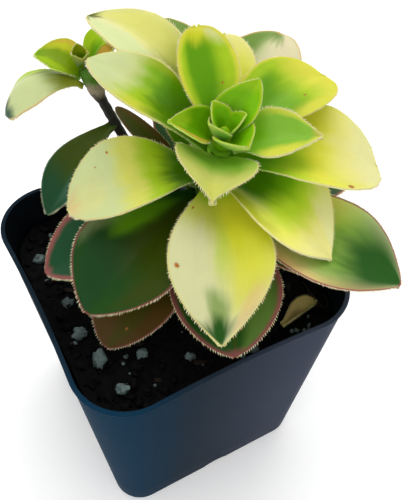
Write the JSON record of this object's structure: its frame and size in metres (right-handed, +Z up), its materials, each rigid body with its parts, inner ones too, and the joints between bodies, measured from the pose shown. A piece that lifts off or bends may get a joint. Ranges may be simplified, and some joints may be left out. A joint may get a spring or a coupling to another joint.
{
  "type": "potted variegated aeonium",
  "caption": "Rosette succulent with pointed, fine-toothed leaves striped cream, yellow and green, with a small second rosette on a side stem, in a square black nursery pot.",
  "frame": {"origin": "middle of the pot's flat underside, on the surface it stands on", "axes": "+Z up; the pot's sides face -X, +X, -Y and +Y, and the picture looks at the corner between its -X and -Y sides"},
  "size_m": [0.1108, 0.1163, 0.1487],
  "materials": {
    "pot_plastic": "black moulded plastic with a soft sheen",
    "soil": "dark damp potting soil with crumbs and pale grains",
    "stem_bark": "dark brown bark with leaf scars",
    "green_leaf": "satin deep green leaf, pink edge",
    "teal_leaf": "satin dark blue-green leaf, red edge",
    "olive_leaf": "withering olive leaf",
    "brown_leaf": "old brown-green leaf",
    "yellow_leaf": "satin leaf in cream and yellow with green streaks",
    "lime_leaf": "satin leaf in lime and green with yellow edges",
    "dry_leaf": "dry papery brown leaf"
  },
  "bodies": {
    "root": {"nursery_pot": "pot_plastic", "potting_soil": "soil", "main_stem": "stem_bark", "side_stem": "stem_bark", "main_leaf_01": "green_leaf", "main_leaf_02": "brown_leaf", "main_leaf_03": "green_leaf", "main_leaf_04": "green_leaf", "main_leaf_05": "green_leaf", "main_leaf_06": "teal_leaf", "main_leaf_07": "green_leaf", "main_leaf_08": "olive_leaf", "main_leaf_09": "green_leaf", "main_leaf_10": "green_leaf", "main_leaf_11": "green_leaf", "main_leaf_12": "green_leaf", "main_leaf_13": "green_leaf", "main_leaf_14": "yellow_leaf", "main_leaf_15": "yellow_leaf", "main_leaf_16": "yellow_leaf", "main_leaf_17": "yellow_leaf", "main_leaf_18": "yellow_leaf", "main_leaf_19": "yellow_leaf", "main_leaf_20": "lime_leaf", "main_leaf_21": "lime_leaf", "main_leaf_22": "lime_leaf", "main_leaf_23": "lime_leaf", "main_leaf_24": "lime_leaf", "main_leaf_25": "lime_leaf", "main_heart": "lime_leaf", "side_leaf_01": "teal_leaf", "side_leaf_02": "green_leaf", "side_leaf_03": "yellow_leaf", "side_leaf_04": "lime_leaf", "side_leaf_05": "lime_leaf", "side_leaf_06": "brown_leaf", "side_heart": "lime_leaf", "fallen_leaf": "dry_leaf"}
  },
  "joints": []
}
